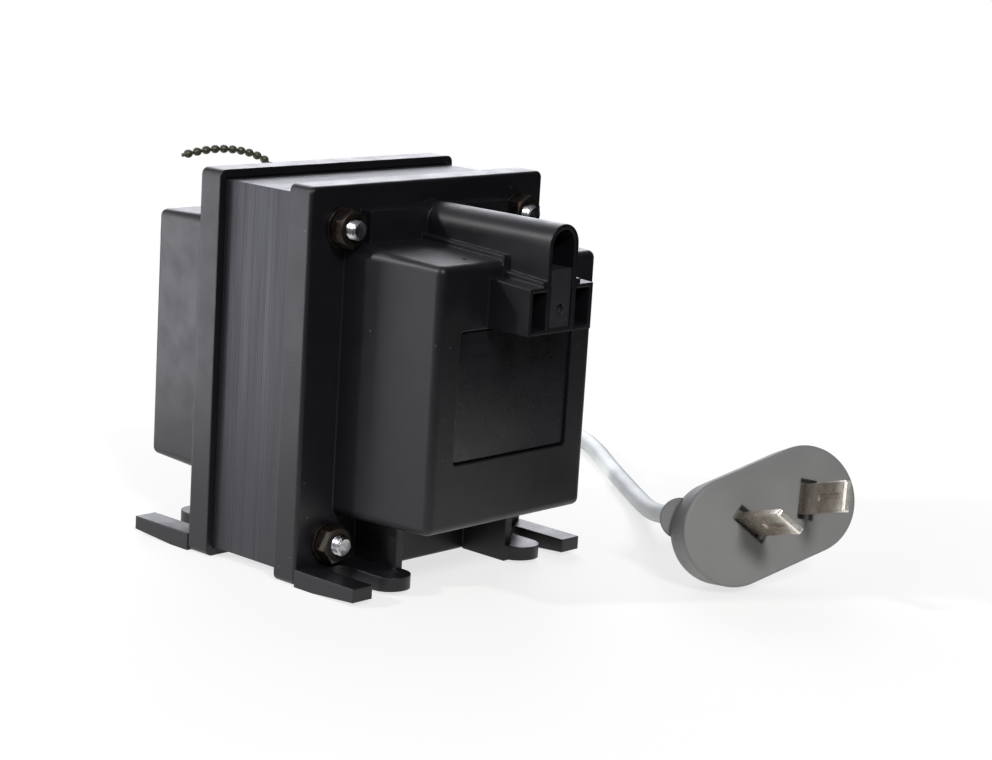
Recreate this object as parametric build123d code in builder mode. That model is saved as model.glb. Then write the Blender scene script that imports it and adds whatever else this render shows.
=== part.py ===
from build123d import *
import math
import os

# Travel voltage converter: a laminated transformer clamped between two black moulded
# covers by four through bolts, with a mains lead and a flat two-pin plug at the back.
# Millimetres. X runs to the right, Y to the back and Z up. The origin lies on the floor
# under the middle of the object, and core_y is where the middle of the core comes.

# Core stampings
pitch = 12.7                  # window height, and width of the yokes and outer legs
stack = 22.5                  # thickness of the stack
packets = 5                   # packets laid alternately left and right
bolt_hole = 4.8               # diameter of the holes through the core

# Frame plate of each cover
frame_side = 1.75             # how far the plate reaches past the core on each side
frame_thick = 6.0
frame_corner = 1.5
frame_edge = 0.7
seat_depth = 1.0              # how far the core sits in the plate
seat_gap = 0.2

# Bell of each cover
bell_inset = 1.5              # each side of the bell, inside the row of bolts
bell_drop = 3.15              # its top, below the middle of the upper bolts
bell_floor_gap = 0.6          # between its floor and the bobbin
bell_depth = 25.5
bell_corner = 2.6
bell_edge = 1.6
wall = 2.2
draft = 2.7                   # degrees

# Feet of each cover
foot_width = 18.2
foot_length = 16.75           # from the plate's face to the tip
foot_thick = 3.6
foot_gap = 0.65               # between the foot and the washer over it
foot_round = 2.2
foot_rise = 0.9               # how far the underside lifts at the tip
tip_flat = 0.15               # left flat between the rounds of the inner prong
slot_inset = 7.8              # from the plate's side to the slot's middle
slot_width = 5.2
slot_start = 2.65             # from the plate's face to the slot's end
web_thick = 1.9
web_length = 11.95

# Cord tunnel and grip block of the front cover
ledge_gap = 1.4               # between each end of the ledge and the washer beside it
ledge_rise = 6.4              # above the bell
ledge_depth = 3.0
tunnel_width = 8.4
tunnel_rise = 7.2             # above the bell
tunnel_wall = 1.0
tunnel_reach = 10.55          # beyond the bell's face
channel_sink = 1.0            # the channel's floor, below the bell's top
strip_width = 10.8
strip_height = 1.1
block_width = 18.4
block_height = 9.2
block_drop = 4.9              # its top, below the bell's top
block_depth = 10.7
block_rim = 0.8
pocket_depth = 8.0
grip_drop = 1.6               # the grip's top, below the bell's top
grip_gap = 0.3
grip_dimple = 1.1
gate_mark = 0.9

# Panel opening of each cover
panel_side = 7.3              # from the opening to the bell's side
panel_height = 26.6
panel_drop = 0.2              # below the grip block
panel_corner = 0.8
panel_gap = 0.45
panel_recess = 0.6
panel_lip = 2.0
panel_lip_thick = 1.4

# Outlet for a flat two-blade plug, at the back
outlet_rim = 0.9
outlet_proud = 1.5
outlet_depth = 12.0           # inside the bell's face
blade_pitch = 12.7
blade_slot_width = 1.8
blade_slot_height = 7.2
contact_sheet = 0.5
contact_length = 9.0
contact_tail = 4.0
contact_gap = 0.2

# Bobbin and windings
bobbin_gap = 0.2
bobbin_wall = 1.2
flange_gap = 1.2              # between the flanges and the ends of the windows
primary_build = 4.4
insulation = 0.4
tape = 0.5
coil_gap = 0.6                # from the tape to the edge of the flanges
fuse_diameter = 3.4
fuse_length = 10.0

# Fasteners
bolt_diameter = 4.0
thread_gap = 0.05
cover_hole = 4.6
washer_diameter = 8.0
washer_thick = 0.8
nut_flats = 7.0
nut_thick = 3.2
bolt_end = 1.7
head_thick = 2.8

# Mains lead
cord_diameter = 4.2
sleeve_x = 12.0
sleeve_gap = 0.6              # between the sleeve and the outlet
sleeve_root = 8.8
sleeve_tip = 5.4
sleeve_length = 22.3
sleeve_collar = 2.2
sleeve_neck_gap = 0.2
sleeve_ring = 0.9
sleeve_grooves = 4
groove_width = 1.4
groove_depth = 0.5
tail_length = 6.0

# Plug
plug_length = 40.8
plug_width = 22.7
plug_depth = 11.0
plug_draft = 5.0
plug_edge = 4.0
plug_face_edge = 0.6
pin_width = 6.35
pin_thick = 1.6
pin_length = 17.35
pin_pitch = 13.72
pin_angle = 60.0
pin_shank = 4.0
pin_socket_depth = 2.0
pin_socket_gap = 1.0
neck_root = 8.6
neck_tip = 5.0
neck_length = 11.0

# For cuts that run past what they cut, and walls of one moulding that run into another
spare = 1.0
bite = 0.1

# Worked out from the sizes above
core_height = 6 * pitch
core_width = 5 * pitch
window_length = 3 * pitch
bolt_x = core_width - pitch
bolt_z = core_height - pitch
core_z = foot_thick + foot_gap + washer_diameter / 2 + bolt_z / 2
frame_width = core_width + 2 * frame_side
frame_height = 2 * core_z
frame_inner = stack / 2 - seat_depth
frame_face = frame_inner + frame_thick
foot_reach = frame_face + foot_length
foot_inner = frame_width / 2 - foot_width
slot_x = frame_width / 2 - slot_inset
slot_root = frame_face + slot_start
web_reach = frame_face + web_length
bobbin_flange = 2 * pitch - flange_gap
bell_width = bolt_x - 2 * bell_inset
bell_top = core_z + bolt_z / 2 - bell_drop
bell_low = core_z - bobbin_flange - bell_floor_gap - wall
bell_face = frame_face + bell_depth
bell_inner = bell_face - wall
bell_mid = (bell_low + bell_top) / 2
bell_height = bell_top - bell_low
bell_fall = bell_depth * math.tan(math.radians(draft))
block_face = bell_face + block_depth
block_top = bell_top - block_drop
block_low = block_top - block_height
grip_top = bell_top - grip_drop
ledge_width = bolt_x - washer_diameter - 2 * ledge_gap
ledge_top = bell_top + ledge_rise
channel_floor = bell_top - channel_sink
tunnel_face = bell_face + tunnel_reach
tunnel_top = bell_top + tunnel_rise
tunnel_mid = tunnel_top - tunnel_width / 2
channel_width = tunnel_width - 2 * tunnel_wall
panel_width = bell_width - 2 * panel_side
panel_top = block_low - panel_drop
panel_mid = panel_top - panel_height / 2
sleeve_z = panel_top + outlet_rim + sleeve_gap + sleeve_root / 2
core_y = (block_face - bell_face - outlet_proud) / 2


def facing(distance, height=0.0):
    """Upright plane this far in front of the core's middle, looking forward."""
    return Plane((0, core_y - distance, height), x_dir=(1, 0, 0), z_dir=(0, -1, 0))


def level(height):
    """Level plane at this height, centred under the core."""
    return Plane((0, core_y, height))


def across(x):
    """Upright plane at this x, looking right, with its own x running to the back."""
    return Plane((x, core_y, 0), x_dir=(0, 1, 0), z_dir=(1, 0, 0))


# Both covers start as the same moulding: frame plate, hollow bell, feet and webs
with BuildPart() as cover_blank:
    with BuildSketch(facing(frame_inner, frame_height / 2)):
        RectangleRounded(frame_width, frame_height, frame_corner)
    extrude(amount=frame_thick)
    fillet(cover_blank.faces().sort_by(Axis.Y)[0].edges(), frame_edge)

    with BuildSketch(facing(frame_face, bell_mid)):
        RectangleRounded(bell_width, bell_height, bell_corner)
    extrude(amount=bell_depth, taper=draft)
    fillet(cover_blank.faces().sort_by(Axis.Y)[0].edges(), bell_edge)

    for side in (-1, 1):
        with BuildSketch(level(0)) as foot_plan:
            with Locations((side * (foot_inner + foot_width / 2), -(frame_face + foot_reach) / 2)):
                Rectangle(foot_width, foot_length)
            slot_middle = slot_root + slot_width / 2
            with Locations((side * slot_x, -(slot_middle + foot_reach) / 2)):
                Rectangle(slot_width, foot_reach - slot_middle, mode=Mode.SUBTRACT)
            with Locations((side * slot_x, -slot_middle)):
                Circle(slot_width / 2, mode=Mode.SUBTRACT)
            tips = foot_plan.vertices().group_by(Axis.Y)[0].sort_by(Axis.X)
            if side > 0:
                inner_tips, outer_tips = tips[0:2], tips[2:4]
            else:
                inner_tips, outer_tips = tips[2:4], tips[0:2]
            prong_width = slot_x - slot_width / 2 - foot_inner
            fillet(inner_tips, (prong_width - tip_flat) / 2)
            fillet(outer_tips, foot_round)
        extrude(amount=foot_thick)

    with BuildSketch(across(-frame_width / 2)):
        with BuildLine():
            lift_start = slot_root + slot_width / 2
            Polyline(
                (-lift_start, 0),
                (-foot_reach - spare, foot_rise),
                (-foot_reach - spare, -spare),
                (-lift_start, -spare),
                close=True,
            )
        make_face()
    extrude(amount=frame_width, mode=Mode.SUBTRACT)

    web_x = foot_inner + web_thick / 2
    web_y = -(frame_face + web_reach) / 2
    with BuildSketch(level(0)):
        with Locations((-web_x, web_y), (web_x, web_y)):
            Rectangle(web_thick, web_length)
    extrude(amount=bell_low + wall / 2)

    with BuildSketch(facing(frame_inner, bell_mid)):
        RectangleRounded(bell_width - 2 * wall, bell_height - 2 * wall, bell_corner - wall / 2)
    extrude(amount=frame_thick, mode=Mode.SUBTRACT)
    with BuildSketch(facing(frame_face, bell_mid)):
        RectangleRounded(bell_width - 2 * wall, bell_height - 2 * wall, bell_corner - wall / 2)
    extrude(amount=bell_depth - wall, taper=draft, mode=Mode.SUBTRACT)

    with BuildSketch(facing(frame_inner, core_z)):
        Rectangle(core_width + 2 * seat_gap, core_height + 2 * seat_gap)
    extrude(amount=seat_depth, mode=Mode.SUBTRACT)
    with BuildSketch(facing(frame_inner, core_z)):
        with GridLocations(bolt_x, bolt_z, 2, 2):
            Circle(cover_hole / 2)
    extrude(amount=frame_thick, mode=Mode.SUBTRACT)

# Front cover: ledge, cord tunnel, grip block with its two pockets, panel opening
with BuildPart() as front_cover:
    add(cover_blank.part)
    ledge_low = bell_top - wall / 2
    with BuildSketch(facing(frame_face)):
        with Locations((0, (ledge_low + ledge_top) / 2)):
            Rectangle(ledge_width, ledge_top - ledge_low)
    extrude(amount=ledge_depth)

    tunnel_low = bell_top - wall + bite
    with BuildSketch(facing(frame_face)):
        with Locations((0, (tunnel_low + tunnel_mid) / 2)):
            Rectangle(tunnel_width, tunnel_mid - tunnel_low)
        with Locations((0, tunnel_mid)):
            Circle(tunnel_width / 2)
    extrude(amount=tunnel_face - frame_face)
    with BuildSketch(facing(bell_face - wall / 2)):
        with Locations((0, (block_low + tunnel_mid) / 2)):
            Rectangle(tunnel_width, tunnel_mid - block_low)
    extrude(amount=tunnel_face - bell_face + wall / 2)

    with BuildSketch(across(-block_width / 2)):
        with BuildLine():
            Polyline(
                (-bell_inner, block_low),
                (-block_face, block_low),
                (-block_face, block_top),
                (-bell_inner, block_top + block_rim),
                close=True,
            )
        make_face()
    extrude(amount=block_width)
    with BuildSketch(across(-strip_width / 2)):
        with BuildLine():
            Polyline(
                (-frame_face, bell_top - wall / 2),
                (-frame_face, bell_top + strip_height),
                (-bell_face, bell_top - bell_fall + strip_height),
                (-bell_face, block_top + block_rim + strip_height),
                (-tunnel_face, block_top + strip_height),
                (-tunnel_face, block_low + block_rim),
                (-bell_inner, block_low + block_rim),
                (-bell_inner, bell_top - bell_fall - wall / 2),
                close=True,
            )
        make_face()
    extrude(amount=strip_width)

    with BuildSketch(facing(tunnel_face)):
        with Locations((0, (channel_floor + tunnel_mid) / 2)):
            Rectangle(channel_width, tunnel_mid - channel_floor)
        with Locations((0, tunnel_mid)):
            Circle(channel_width / 2)
    extrude(amount=-(tunnel_face - frame_face - ledge_depth / 2), mode=Mode.SUBTRACT)
    with BuildSketch(facing(bell_face)):
        with Locations((0, (block_low + block_rim + tunnel_mid) / 2)):
            Rectangle(channel_width, tunnel_mid - block_low - block_rim)
    extrude(amount=block_depth, mode=Mode.SUBTRACT)
    with BuildSketch(level(channel_floor + bite)):
        with Locations((0, -(frame_face + ledge_depth + channel_width / 2))):
            Rectangle(channel_width, channel_width)
    extrude(amount=-(bite - channel_sink + wall + spare), mode=Mode.SUBTRACT)

    pocket_width = (block_width - tunnel_width) / 2 - block_rim
    pocket_height = block_height - 2 * block_rim
    with BuildSketch(facing(block_face)):
        for side in (-1, 1):
            with Locations((side * (tunnel_width + pocket_width) / 2, (block_low + block_top) / 2)):
                Rectangle(pocket_width, pocket_height)
    extrude(amount=-pocket_depth, mode=Mode.SUBTRACT)

    with BuildSketch(facing(bell_inner, panel_mid)):
        RectangleRounded(panel_width, panel_height, panel_corner)
    extrude(amount=wall, mode=Mode.SUBTRACT)
    with BuildSketch(level(bell_top)):
        with Locations((-bell_width / 4, -bell_face + 2 * wall)):
            Circle(gate_mark / 2)
    extrude(amount=-wall, mode=Mode.SUBTRACT)
front_cover.part.label = "front_cover"

# Rear cover: the same moulding turned round, with the outlet and the lead in its face
with BuildPart() as rear_cover:
    mirror(cover_blank.part, about=facing(0))
    with BuildSketch(facing(-bell_inner, panel_mid)):
        RectangleRounded(panel_width, panel_height, panel_corner)
    extrude(amount=-wall, mode=Mode.SUBTRACT)
    with BuildSketch(facing(-bell_inner, sleeve_z)):
        with Locations((sleeve_x, 0)):
            Circle(sleeve_root / 2 - sleeve_ring)
    extrude(amount=-wall, mode=Mode.SUBTRACT)
rear_cover.part.label = "rear_cover"

# Bare plate that closes the front panel opening, snapped in from the inside
with BuildPart() as front_plate:
    with BuildSketch(facing(bell_inner, panel_mid)):
        RectangleRounded(panel_width - 2 * panel_gap, panel_height - 2 * panel_gap, panel_corner)
    extrude(amount=wall - panel_recess)
    with BuildSketch(facing(bell_inner, panel_mid)):
        RectangleRounded(panel_width + 2 * panel_lip, panel_height + 2 * panel_lip, panel_corner)
    extrude(amount=-panel_lip_thick)
front_plate.part.label = "front_plate"

# Plug that fills the lower part of the unused cord channel
with BuildPart() as grip_plug:
    grip_low = block_low + block_rim
    grip_width = channel_width - 2 * grip_gap
    with BuildSketch(facing(bell_face)):
        with Locations((0, (grip_low + grip_top) / 2)):
            Rectangle(grip_width, grip_top - grip_low)
    extrude(amount=tunnel_face - bell_face - grip_gap / 2)
    with BuildSketch(facing(tunnel_face)):
        with Locations((0, (block_low + block_top) / 2)):
            Circle(grip_dimple)
    extrude(amount=-grip_dimple, mode=Mode.SUBTRACT)
grip_plug.part.label = "grip_plug"

# Outlet: moulded body with two blade slots, and a folded brass contact behind each
with BuildPart() as outlet_body:
    with BuildSketch(facing(-bell_face, panel_mid)):
        rim_width = panel_width + 2 * outlet_rim
        rim_height = panel_height + 2 * outlet_rim
        RectangleRounded(rim_width, rim_height, panel_corner + outlet_rim)
    extrude(amount=-outlet_proud)
    fillet(outlet_body.faces().sort_by(Axis.Y)[-1].edges(), outlet_proud / 2)
    with BuildSketch(facing(-bell_face, panel_mid)):
        RectangleRounded(panel_width - 2 * panel_gap, panel_height - 2 * panel_gap, panel_corner)
    extrude(amount=outlet_depth)
    with BuildSketch(facing(-bell_face - outlet_proud, panel_mid)):
        with GridLocations(blade_pitch, 1, 2, 1):
            Rectangle(blade_slot_width, blade_slot_height)
    extrude(amount=outlet_depth + outlet_proud, mode=Mode.SUBTRACT)
    contact_width = blade_slot_width + 2 * contact_sheet
    with BuildSketch(facing(-bell_face + outlet_depth, panel_mid)):
        with GridLocations(blade_pitch, 1, 2, 1):
            Rectangle(contact_width + 2 * contact_gap, blade_slot_height + 2 * contact_gap)
    extrude(amount=-(contact_length + contact_gap), mode=Mode.SUBTRACT)
outlet_body.part.label = "outlet_body"

with BuildPart() as outlet_contacts:
    with BuildSketch(facing(-bell_face + outlet_depth, panel_mid)):
        with GridLocations(blade_pitch, 1, 2, 1):
            Rectangle(contact_width, blade_slot_height)
            Rectangle(blade_slot_width, blade_slot_height, mode=Mode.SUBTRACT)
    extrude(amount=-contact_length)
    with BuildSketch(facing(-bell_face + outlet_depth, panel_mid)):
        with GridLocations(blade_pitch, 1, 2, 1):
            Rectangle(contact_width, blade_slot_height)
    extrude(amount=contact_sheet)
    with BuildSketch(facing(-bell_face + outlet_depth, panel_mid)):
        with GridLocations(blade_pitch, 1, 2, 1):
            Rectangle(contact_sheet, blade_slot_height / 2)
    extrude(amount=contact_tail)
outlet_contacts.part.label = "outlet_contacts"

# Core: packets of E stampings with their backs left and right by turns, and the I
# stampings that close each packet
packet_thick = stack / packets
e_width = core_width - pitch
with BuildPart() as e_laminations:
    for number in range(packets):
        side = -1 if number % 2 == 0 else 1
        with BuildSketch(facing(-stack / 2 + number * packet_thick, core_z)):
            with Locations((side * pitch / 2, 0)):
                Rectangle(e_width, core_height)
            with Locations((0, 1.5 * pitch), (0, -1.5 * pitch)):
                Rectangle(window_length, pitch, mode=Mode.SUBTRACT)
            with Locations((side * bolt_x / 2, bolt_z / 2), (side * bolt_x / 2, -bolt_z / 2)):
                Circle(bolt_hole / 2, mode=Mode.SUBTRACT)
        extrude(amount=packet_thick, mode=Mode.ADD)
e_laminations.part.label = "e_laminations"

with BuildPart() as i_laminations:
    for number in range(packets):
        side = 1 if number % 2 == 0 else -1
        with BuildSketch(facing(-stack / 2 + number * packet_thick, core_z)):
            with Locations((side * bolt_x / 2, 0)):
                Rectangle(pitch, core_height)
            with Locations((side * bolt_x / 2, bolt_z / 2), (side * bolt_x / 2, -bolt_z / 2)):
                Circle(bolt_hole / 2, mode=Mode.SUBTRACT)
        extrude(amount=packet_thick)
i_laminations.part.label = "i_laminations"

# Bobbin on the middle leg
hub_y = stack / 2 + bobbin_gap + bobbin_wall
hub_z = pitch + bobbin_gap + bobbin_wall
bobbin_length = window_length - 2 * bobbin_gap
flange_y = hub_y + bobbin_flange - hub_z
wire_length = bobbin_length - 2 * bobbin_wall
winding_room = bobbin_flange - hub_z - coil_gap
secondary_build = winding_room - primary_build - insulation - tape
with BuildPart() as bobbin:
    with BuildSketch(Plane((-bobbin_length / 2, core_y, core_z), x_dir=(0, 1, 0), z_dir=(1, 0, 0))):
        Rectangle(2 * hub_y, 2 * hub_z)
    extrude(amount=bobbin_length)
    for start in (-bobbin_length / 2, bobbin_length / 2 - bobbin_wall):
        with BuildSketch(Plane((start, core_y, core_z), x_dir=(0, 1, 0), z_dir=(1, 0, 0))):
            RectangleRounded(2 * flange_y, 2 * bobbin_flange, bobbin_wall)
        extrude(amount=bobbin_wall)
    with BuildSketch(Plane((-bobbin_length / 2, core_y, core_z), x_dir=(0, 1, 0), z_dir=(1, 0, 0))):
        Rectangle(stack + 2 * bobbin_gap, 2 * (pitch + bobbin_gap))
    extrude(amount=bobbin_length, mode=Mode.SUBTRACT)
bobbin.part.label = "bobbin"


def wound_layer(inside, build):
    """One layer of the coil, this far out from the bobbin's hub and this thick."""
    outside = inside + build
    with BuildPart() as layer:
        with BuildSketch(Plane((-wire_length / 2, core_y, core_z), x_dir=(0, 1, 0), z_dir=(1, 0, 0))):
            RectangleRounded(2 * (hub_y + outside), 2 * (hub_z + outside), outside)
            if inside > 0:
                RectangleRounded(2 * (hub_y + inside), 2 * (hub_z + inside), inside, mode=Mode.SUBTRACT)
            else:
                Rectangle(2 * hub_y, 2 * hub_z, mode=Mode.SUBTRACT)
        extrude(amount=wire_length)
    return layer.part


primary_winding = wound_layer(0, primary_build)
primary_winding.label = "primary_winding"
interlayer_insulation = wound_layer(primary_build, insulation)
interlayer_insulation.label = "interlayer_insulation"
secondary_winding = wound_layer(primary_build + insulation, secondary_build)
secondary_winding.label = "secondary_winding"
tape_inside = primary_build + insulation + secondary_build
outer_tape = wound_layer(tape_inside, tape)
outer_tape.label = "outer_tape"

# Thermal fuse lying on the tape at the back of the coil
with BuildPart() as thermal_fuse:
    fuse_y = hub_y + tape_inside + tape + fuse_diameter / 2
    with BuildSketch(Plane((-fuse_length / 2, core_y + fuse_y, core_z), x_dir=(0, 1, 0), z_dir=(1, 0, 0))):
        Circle(fuse_diameter / 2)
    extrude(amount=fuse_length)
    chamfer(thermal_fuse.edges().filter_by(GeomType.CIRCLE), fuse_diameter / 8)
thermal_fuse.part.label = "thermal_fuse"

# Four through bolts with their heads at the back, washers at both ends, nuts in front
clamp_face = frame_face + washer_thick
with BuildPart() as through_bolts:
    with BuildSketch(facing(-clamp_face - head_thick, core_z)):
        with GridLocations(bolt_x, bolt_z, 2, 2):
            RegularPolygon(nut_flats / 2, 6, major_radius=False)
    extrude(amount=head_thick)
    with BuildSketch(facing(-clamp_face, core_z)):
        with GridLocations(bolt_x, bolt_z, 2, 2):
            Circle(bolt_diameter / 2)
    extrude(amount=2 * clamp_face + nut_thick + bolt_end)
    chamfer(through_bolts.faces().sort_by(Axis.Y)[0:4].edges(), bolt_diameter / 10)
through_bolts.part.label = "through_bolts"

with BuildPart() as washers:
    for start in (-clamp_face, frame_face):
        with BuildSketch(facing(start, core_z)):
            with GridLocations(bolt_x, bolt_z, 2, 2):
                Circle(washer_diameter / 2)
                Circle(bolt_diameter / 2 + thread_gap, mode=Mode.SUBTRACT)
        extrude(amount=washer_thick)
washers.part.label = "washers"

with BuildPart() as hex_nuts:
    with BuildSketch(facing(clamp_face, core_z)):
        with GridLocations(bolt_x, bolt_z, 2, 2):
            RegularPolygon(nut_flats / 2, 6, major_radius=False)
            Circle(bolt_diameter / 2 + thread_gap, mode=Mode.SUBTRACT)
    extrude(amount=nut_thick)
hex_nuts.part.label = "hex_nuts"

# Sleeve that leads the cord out of the rear cover, gripping the wall in its groove
with BuildPart() as cord_sleeve:
    sleeve_axis = Axis((sleeve_x, core_y, sleeve_z), (0, 1, 0))
    sleeve_plane = Plane((sleeve_x, core_y, sleeve_z), x_dir=(0, 1, 0), z_dir=(1, 0, 0))
    neck_radius = sleeve_root / 2 - sleeve_ring - sleeve_neck_gap
    sleeve_end = bell_face + sleeve_length
    with BuildSketch(sleeve_plane):
        with BuildLine():
            Polyline(
                (bell_inner - sleeve_collar, 0),
                (bell_inner - sleeve_collar, sleeve_root / 2),
                (bell_inner, sleeve_root / 2),
                (bell_inner, neck_radius),
                (bell_face, neck_radius),
                (bell_face, sleeve_root / 2),
                (bell_face + sleeve_collar, sleeve_root / 2),
                (sleeve_end, sleeve_tip / 2),
                (sleeve_end, 0),
                close=True,
            )
        make_face()
    revolve(axis=sleeve_axis)
    sleeve_taper = (sleeve_root - sleeve_tip) / 2 / (sleeve_length - sleeve_collar)
    groove_step = (sleeve_length - sleeve_collar) / (sleeve_grooves + 1)
    with BuildSketch(sleeve_plane):
        for number in range(1, sleeve_grooves + 1):
            along = number * groove_step
            groove_radius = sleeve_root / 2 - along * sleeve_taper - groove_depth
            with Locations((bell_face + sleeve_collar + along, groove_radius + sleeve_root / 2)):
                Rectangle(groove_width, sleeve_root)
    revolve(axis=sleeve_axis, mode=Mode.SUBTRACT)
cord_sleeve.part.label = "cord_sleeve"

with BuildPart() as cord_tail:
    with BuildSketch(facing(-bell_inner + sleeve_collar + tail_length, sleeve_z)):
        with Locations((sleeve_x, 0)):
            Circle(cord_diameter / 2)
    extrude(amount=-tail_length)
cord_tail.part.label = "cord_tail"

# Route of the lead from the sleeve to the coil, and from the coil to the plug. The
# points are chosen by hand, measured from the middle of the core.
coil_x = 84.0
coil_y = 72.0
coil_inner = 16.7
coil_outer = 29.3
coil_height = 2 * cord_diameter
coil_edge = 1.7
floor_z = cord_diameter / 2
rear_route = [
    (sleeve_x, bell_face + sleeve_length, sleeve_z),
    (12.0, 80.0, 60.2),
    (15.0, 93.5, 53.5),
    (22.0, 103.5, 43.0),
    (33.0, 108.0, 31.0),
    (46.0, 107.5, 20.5),
    (59.5, 104.0, 12.0),
    (73.0, 99.0, 7.0),
    (82.0, 97.1, 6.3),
]
front_route = [
    (111.2, 74.0, floor_z),
    (112.6, 60.0, floor_z),
    (113.4, 46.0, floor_z),
    (110.6, 32.0, floor_z),
    (103.0, 19.4, floor_z),
    (94.0, 6.4, floor_z),
    (83.6, -7.8, floor_z),
    (73.0, -21.0, 3.2),
    (62.8, -32.0, 5.5),
    (52.4, -42.6, 8.2),
    (42.1, -52.1, 11.1),
]


def widest_radii(points):
    """The largest arc that each corner of a route allows beside its two runs."""
    radii = []
    for before, corner, after in zip(points, points[1:], points[2:]):
        turn = (corner - before).get_angle(after - corner)
        shorter = min((corner - before).length, (after - corner).length)
        radii.append(0.45 * shorter / math.tan(math.radians(turn / 2)))
    return radii


def round_tube(route, diameter):
    """Tube along a route, as straight runs joined by the largest arcs they allow."""
    points = [Vector(x, core_y + y, z) for x, y, z in route]
    radii = widest_radii(points)
    with BuildPart() as tube:
        with BuildLine() as path:
            FilletPolyline(*points, radius=radii)
        track = path.wire()
        with BuildSketch(Plane(track @ 0, z_dir=track % 0)):
            Circle(diameter / 2)
        sweep()
    section = math.pi * diameter**2 / 4
    print("radii", [round(radius, 1) for radius in radii])
    print("length", round(track.length, 1))
    print("volume ratio", round(tube.part.volume / section / track.length, 4))
    return tube.part


mains_cord_rear = round_tube(rear_route, cord_diameter)
mains_cord_rear.label = "mains_cord_rear"
mains_cord_front = round_tube(front_route, cord_diameter)
mains_cord_front.label = "mains_cord_front"

# The rest of the lead, put away in a round coil on the floor behind the object
with BuildPart() as mains_cord_coil:
    with BuildSketch(Plane((coil_x, core_y + coil_y, 0))):
        Circle(coil_outer)
        Circle(coil_inner, mode=Mode.SUBTRACT)
    extrude(amount=coil_height)
    fillet(mains_cord_coil.edges().filter_by(GeomType.CIRCLE), coil_edge)
mains_cord_coil.part.label = "mains_cord_coil"

# Plug lying on its edge: x of its plane runs along the row of pins, z out of its face
plug_plane = Plane(
    (47.5, core_y - 74.6, 16.1),
    x_dir=(0.885, -0.339, 0.321),
    z_dir=(-0.433, -0.853, 0.293),
)
plug_offset = -2.1            # middle of the plug, along its row of pins
plug_axis = Axis((0, 0, 0), tuple(plug_plane.z_dir))
neck_end = Vector(front_route[-1][0], core_y + front_route[-1][1], front_route[-1][2])
neck_run = neck_end - Vector(front_route[-2][0], core_y + front_route[-2][1], front_route[-2][2])
neck_plane = Plane(neck_end, z_dir=neck_run)
with BuildPart() as plug_body:
    with BuildSketch(plug_plane):
        with Locations((plug_offset, 0)):
            SlotOverall(plug_length, plug_width)
    extrude(amount=-plug_depth, taper=plug_draft)
    fillet(plug_body.faces().sort_by(plug_axis)[0].edges(), plug_edge)
    fillet(plug_body.faces().sort_by(plug_axis)[-1].edges(), plug_face_edge)
    with BuildSketch(neck_plane):
        Circle(neck_tip / 2)
    with BuildSketch(neck_plane.offset(neck_length)):
        Circle(neck_root / 2)
    loft()
    for side in (-1, 1):
        with BuildSketch(plug_plane):
            with Locations(Location((side * pin_pitch / 2, 0, 0), (0, 0, side * pin_angle))):
                Rectangle(pin_width + 2 * pin_socket_gap, pin_thick + 2 * pin_socket_gap)
        extrude(amount=-pin_socket_depth, mode=Mode.SUBTRACT)
        with BuildSketch(plug_plane):
            with Locations(Location((side * pin_pitch / 2, 0, 0), (0, 0, side * pin_angle))):
                Rectangle(pin_width, pin_thick)
        extrude(amount=-pin_socket_depth - pin_shank, mode=Mode.SUBTRACT)
plug_body.part.label = "plug_body"

with BuildPart() as plug_pins:
    for side in (-1, 1):
        with BuildSketch(plug_plane.offset(-pin_socket_depth - pin_shank)):
            with Locations(Location((side * pin_pitch / 2, 0, 0), (0, 0, side * pin_angle))):
                Rectangle(pin_width, pin_thick)
        extrude(amount=pin_length + pin_socket_depth + pin_shank)
plug_pins.part.label = "plug_pins"

# Beaded tie with one turn round the sleeve, its springy end standing up over the cover
bead_diameter = 1.9
tie_route = [
    (16.6, 46.6, 65.4),
    (11.4, 46.8, 66.4),
    (6.6, 47.1, 62.8),
    (6.6, 47.4, 57.6),
    (11.4, 47.8, 54.2),
    (16.8, 48.6, 56.4),
    (18.6, 49.6, 62.6),
    (18.8, 50.0, 69.5),
    (16.2, 50.0, 74.4),
    (10.0, 49.4, 76.9),
    (2.0, 48.8, 78.3),
    (-6.0, 48.4, 78.2),
    (-11.3, 48.0, 77.4),
]
beaded_tie = round_tube(tie_route, bead_diameter)
beaded_tie.label = "beaded_tie"

os.makedirs("parts", exist_ok=True)
for builder in (
    front_cover,
    rear_cover,
    front_plate,
    grip_plug,
    outlet_body,
    outlet_contacts,
    e_laminations,
    i_laminations,
    bobbin,
    thermal_fuse,
    through_bolts,
    washers,
    hex_nuts,
    cord_sleeve,
    cord_tail,
    mains_cord_coil,
    plug_body,
    plug_pins,
):
    export_step(builder.part, f"parts/{builder.part.label}.step")
for piece in (
    primary_winding,
    interlayer_insulation,
    secondary_winding,
    outer_tape,
    mains_cord_rear,
    mains_cord_front,
    beaded_tie,
):
    export_step(piece, f"parts/{piece.label}.step")
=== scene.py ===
import math

import bmesh
import bpy
from mathutils import Matrix, Vector


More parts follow.
